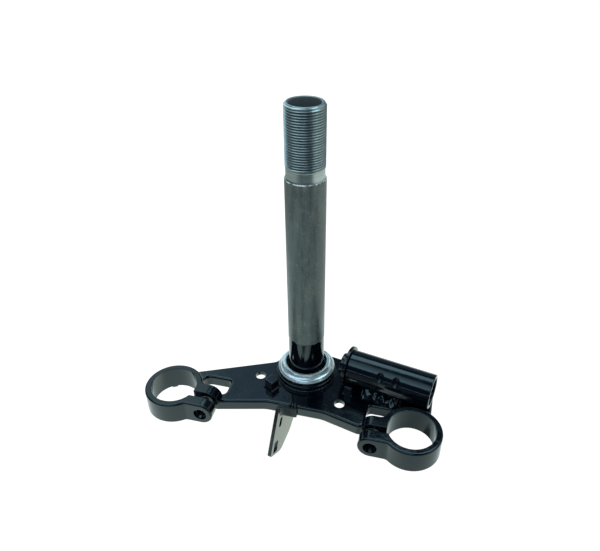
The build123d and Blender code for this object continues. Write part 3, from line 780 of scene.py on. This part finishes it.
class COLLAR_OT_build(bpy.types.Operator):
    """Builds the stepped collar and the dimpled lock tube"""
    bl_idname = "triple_clamp.turned"
    bl_label = "Collar and lock tube"

    def execute(self, context):
        scene = context.scene
        paint = black_paint("gloss_black_turned", scene.triple_clamp_paint, PEEL_DEPTH)
        collar = grid_object("stepped_collar", collar_points(scene.triple_clamp_collar), True, True)
        finish_piece(collar, "gloss_black_paint", paint, "stem_collar")
        tube = grid_object("dimpled_lock_tube", lock_points(scene.triple_clamp_lock), True, True)
        finish_piece(tube, "gloss_black_paint", paint, "lock_tube")
        return {"FINISHED"}


class BEAD_OT_build(bpy.types.Operator):
    """Builds the rippled weld beads"""
    bl_idname = "triple_clamp.beads"
    bl_label = "Weld beads"

    def execute(self, context):
        scene = context.scene
        props = scene.triple_clamp_bead
        paint = black_paint("gloss_black_bead", scene.triple_clamp_paint, BEAD_PEEL_DEPTH, BEAD_RIPPLE)
        beads = (("lock_bead_lumps", lock_bead_points(props, scene.triple_clamp_lock), False, "lock_welds"),
                 ("clamp_bead_left", clamp_bead_points(props, -1), False, "clamp_weld_left"),
                 ("clamp_bead_right", clamp_bead_points(props, 1), False, "clamp_weld_right"),
                 ("collar_bead_ring", collar_bead_points(props), True, "collar_weld"),
                 ("stem_foot_bead", foot_bead_points(props), True, "stem_weld"),
                 ("bracket_bead_lumps", bracket_bead_points(props), False, "bracket_weld"))
        for name, points, ring, node in beads:
            finish_piece(grid_object(name, points, ring, True), "gloss_black_paint", paint, node)
        return {"FINISHED"}


class YOKE_OT_build(bpy.types.Operator):
    """Paints the yoke plate, clamps, stops, lock bolt guide, saddle and bracket"""
    bl_idname = "triple_clamp.yoke"
    bl_label = "Painted yoke"

    def execute(self, context):
        props = context.scene.triple_clamp_paint
        paint = black_paint("gloss_black", props, PEEL_DEPTH, soft_edges=True)
        paint_nodes(paint, ["yoke_plate", "fork_clamp_left", "fork_clamp_right", "steering_stop_left",
                            "steering_stop_right", "lock_bolt_guide", "lock_saddle"])
        low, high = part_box("bracket_weld")
        weld = tuple((a + b) / 2 for a, b in zip(low, high))
        paint = black_paint("gloss_black_burnt", props, PEEL_DEPTH, soft_edges=True, burnt=weld)
        paint_nodes(paint, ["cable_bracket"])
        return {"FINISHED"}


class STAGE_OT_build(bpy.types.Operator):
    """Sets the pale floor, the soft studio light and the camera"""
    bl_idname = "triple_clamp.stage"
    bl_label = "Stage"

    def execute(self, context):
        props = context.scene.triple_clamp_stage
        build_floor(props)
        build_world(context.scene, props)
        build_camera(context.scene, props)
        context.scene.view_settings.view_transform = "Standard"
        return {"FINISHED"}


def floor_gloss(tree, props):
    """Floor as gloss sees it: a painted pool of light round the object that dims with distance, brightest under it,
    with painted shadows and a strip of painted shade in front and on the right, and a paler far right and left."""
    place = add(tree, "TexCoord").outputs["Object"]
    middle = measure(tree, "DISTANCE", place, FLOOR_MIDDLE)

    def strip(way, *span):
        return ramp(tree, measure(tree, "DOT_PRODUCT", place, way), *span)

    def patch(centre, reach, strength):
        return ramp(tree, measure(tree, "DISTANCE", place, centre), *reach, strength, 0.0)

    # Painted shade: a dark strip on the floor in front
    shade_lane = times(tree, window(tree, measure(tree, "DOT_PRODUCT", place, SHADE_LANE_ACROSS), *SHADE_LANE_WIDTH),
                 strip(SHADE_LANE_WAY, *SHADE_LANE_REACH, 0.0, SHADE_LANE_SHARE))
    layers = ((ramp(tree, middle, *props.floor_reach), props.floor_far),
              # Painted light: the floor brightest under the object
              (ramp(tree, middle, *UNDER_LIGHT_REACH, 1.0, 0.0), props.floor_under_light),
              (strip(SHADE_WAY, *SHADE_REACH, 0.0, SHADE_SHARE), props.floor_far),
              (patch(HOLLOW_SHADOW_MIDDLE, HOLLOW_SHADOW_REACH, HOLLOW_SHADOW_SHARE), props.floor_far),
              (patch(SHADOW_MIDDLE, SHADOW_REACH, SHADOW_SHARE), props.floor_far),
              (shade_lane, props.floor_far),
              (strip(RIGHT_WAY, *RIGHT_REACH), props.floor_right),
              (strip(LEFT_WAY, *LEFT_REACH, 1.0, 0.0), props.floor_left))
    return blend_layers(tree, props.floor_near, layers)


def build_floor(props):
    """A level square floor just below the object's lowest point: white to the camera with the object's shadow, plain
    grey to matt surfaces, and to gloss a painted pool of light with painted shadows, by place."""
    span = np.linspace(-props.floor_size, props.floor_size, FLOOR_CUTS)
    x, y = np.meshgrid(span, span)
    points = np.stack([x, y, np.full_like(x, LOWEST - FLOOR_DROP)], -1)
    floor = grid_object("studio_floor", points)
    material = bpy.data.materials.new("floor_white")
    tree = empty_tree(material)
    path = add(tree, "LightPath")
    shine = maths(tree, "MAXIMUM", path.outputs["Is Glossy Ray"], path.outputs["Is Transmission Ray"])
    seen = add(tree, "Emission", {"Color": (1, 1, 1, 1), "Strength": PAPER_GLOW}).outputs[0]
    mirrored = add(tree, "Emission", {"Color": floor_gloss(tree, props), "Strength": 1.0}).outputs[0]
    matte = add(tree, "BsdfDiffuse", {"Color": FLOOR_GREY}).outputs[0]
    faint = add(tree, "BsdfDiffuse", {"Color": PAPER_SHADE}).outputs[0]
    paper = add(tree, "AddShader", {0: seen, 1: faint}).outputs[0]
    ground = add(tree, "MixShader", {0: path.outputs["Is Camera Ray"], 1: matte, 2: paper}).outputs[0]
    ground = add(tree, "MixShader", {0: shine, 1: ground, 2: mirrored}).outputs[0]
    add(tree, "OutputMaterial", {0: ground})
    floor.data.materials.append(material)


def room_light(tree, props):
    """Room as gloss sees it, by the height and turn of a ray: dim to dark walls, pale walls on the left, right and
    back, a thin strip behind the camera, and a front and a back soft box, above a floor."""
    ray = add(tree, "TexCoord").outputs["Generated"]
    x, y, z = add(tree, "SeparateXYZ", {0: ray}).outputs
    height, turn = maths(tree, "ARCSINE", z), maths(tree, "ARCTAN2", x, y)
    away = maths(tree, "ABSOLUTE", turn)

    def fade(value, span, *ends):
        return ramp(tree, value, *map(math.radians, span), *ends)

    def band(value, span):
        return window(tree, value, *map(math.radians, span))

    wall = maths(tree, "MAXIMUM", times(tree, band(height, WALL_RISE), fade(turn, WALL_START)),
                 times(tree, band(height, WALL_HIGH_RISE), fade(turn, WALL_HIGH_START)))
    from_front = maths(tree, "ADD", turn, -math.radians(FRONT_BOX_TURN))
    from_front = maths(tree, "ABSOLUTE", maths(tree, "WRAP", from_front, math.pi, -math.pi))
    front = times(tree, band(height, FRONT_BOX_RISE), fade(from_front, FRONT_BOX_REACH, 1.0, 0.0))
    front = times(tree, front, fade(height, FRONT_BOX_FADE, 1.0, FRONT_BOX_TOP, False))
    from_back = maths(tree, "ABSOLUTE", maths(tree, "SUBTRACT", turn, math.radians(BACK_BOX_TURN)))
    back = times(tree, band(height, BACK_BOX_RISE), fade(from_back, BACK_BOX_REACH, 1.0, 0.0))
    layers = ((fade(turn, DARK_START), props.dark),
              (fade(away, FRONT_START), props.dark_front),
              (times(tree, band(height, LINE_RISE), fade(away, LINE_START)), props.line_front),
              (times(tree, band(height, BACK_RISE), band(turn, BACK_SPREAD)), props.glow_back),
              (times(tree, wall, fade(turn, WALL_END, 1.0, 0.0)), props.glow_left),
              (times(tree, band(height, RIGHT_RISE), band(turn, RIGHT_SPREAD)), props.glow_right),
              (times(tree, wall, fade(turn, WALL_FAR_END, 1.0, 0.0)), props.glow_far),
              (front, props.panel_front),
              (back, props.panel_back))
    return blend_colour(tree, fade(height, HORIZON), props.floor_far, blend_layers(tree, props.dim, layers))


def build_world(scene, props):
    """White to the camera, even light for matt surfaces, and for gloss a room with soft boxes and pale walls."""
    world = bpy.data.worlds.new("studio_room")
    scene.world = world
    tree = empty_tree(world)
    path = add(tree, "LightPath")
    light = blend_colour(tree, path.outputs["Is Diffuse Ray"], room_light(tree, props), props.fill)
    colour = blend_colour(tree, path.outputs["Is Camera Ray"], light, (1.0, 1.0, 1.0))
    shine = add(tree, "Background", {"Color": colour, "Strength": 1.0}).outputs[0]
    add(tree, "OutputWorld", {0: shine})


def build_camera(scene, props):
    """Camera whose axes come from its turn, height and roll, with the lens shift of the photograph's frame."""
    az, el, roll = props.azimuth, props.elevation, props.roll
    back = np.array([math.sin(az) * math.cos(el), -math.cos(az) * math.cos(el), math.sin(el)])
    right = np.array([math.cos(az), math.sin(az), 0.0])
    up = np.cross(back, right)
    turned_right = math.cos(roll) * right + math.sin(roll) * up
    turned_up = -math.sin(roll) * right + math.cos(roll) * up
    data = bpy.data.cameras.new("photo_camera")
    data.sensor_fit = "HORIZONTAL"
    data.sensor_width = 36.0
    data.lens = props.focal * data.sensor_width / IMAGE_WIDTH
    data.shift_x = (IMAGE_WIDTH / 2 - props.centre[0]) / IMAGE_WIDTH
    data.shift_y = (props.centre[1] - IMAGE_HEIGHT / 2) / IMAGE_WIDTH
    data.clip_start = 0.01
    camera = bpy.data.objects.new("photo_camera", data)
    scene.collection.objects.link(camera)
    basis = np.eye(4)
    basis[:3] = np.stack([turned_right, turned_up, back, props.eye], axis=1)
    camera.matrix_world = Matrix(basis.tolist())
    scene.camera = camera


class CLAMP_PT_panel(bpy.types.Panel):
    """Lists the pieces and the stage"""
    bl_idname = "CLAMP_PT_panel"
    bl_label = "Triple Clamp"
    bl_space_type = "VIEW_3D"
    bl_region_type = "UI"
    bl_category = "Triple Clamp"

    def draw(self, context):
        for operator in OPERATORS:
            self.layout.operator(operator.bl_idname)


GROUPS = {"triple_clamp_stem": STEM_PG_sizes, "triple_clamp_race": RACE_PG_sizes,
          "triple_clamp_collar": COLLAR_PG_sizes, "triple_clamp_lock": LOCK_PG_sizes,
          "triple_clamp_bead": BEAD_PG_sizes, "triple_clamp_paint": PAINT_PG_finish,
          "triple_clamp_stage": STAGE_PG_light}
OPERATORS = (YOKE_OT_build, COLLAR_OT_build, BEAD_OT_build, RACE_OT_build, STEM_OT_build, STAGE_OT_build)
CLASSES = (*GROUPS.values(), *OPERATORS, CLAMP_PT_panel)


def register():
    """Registers the classes and hangs the groups on the scene."""
    for cls in CLASSES:
        bpy.utils.register_class(cls)
    for name, group in GROUPS.items():
        setattr(bpy.types.Scene, name, bpy.props.PointerProperty(type=group))


def unregister():
    """Takes the groups and the classes away again."""
    for name in GROUPS:
        delattr(bpy.types.Scene, name)
    for cls in reversed(CLASSES):
        bpy.utils.unregister_class(cls)


def main():
    """Builds every piece and the stage."""
    register()
    bpy.ops.triple_clamp.yoke()
    bpy.ops.triple_clamp.turned()
    bpy.ops.triple_clamp.beads()
    bpy.ops.triple_clamp.race()
    bpy.ops.triple_clamp.stem()
    bpy.ops.triple_clamp.stage()


if __name__ == "__main__":
    main()
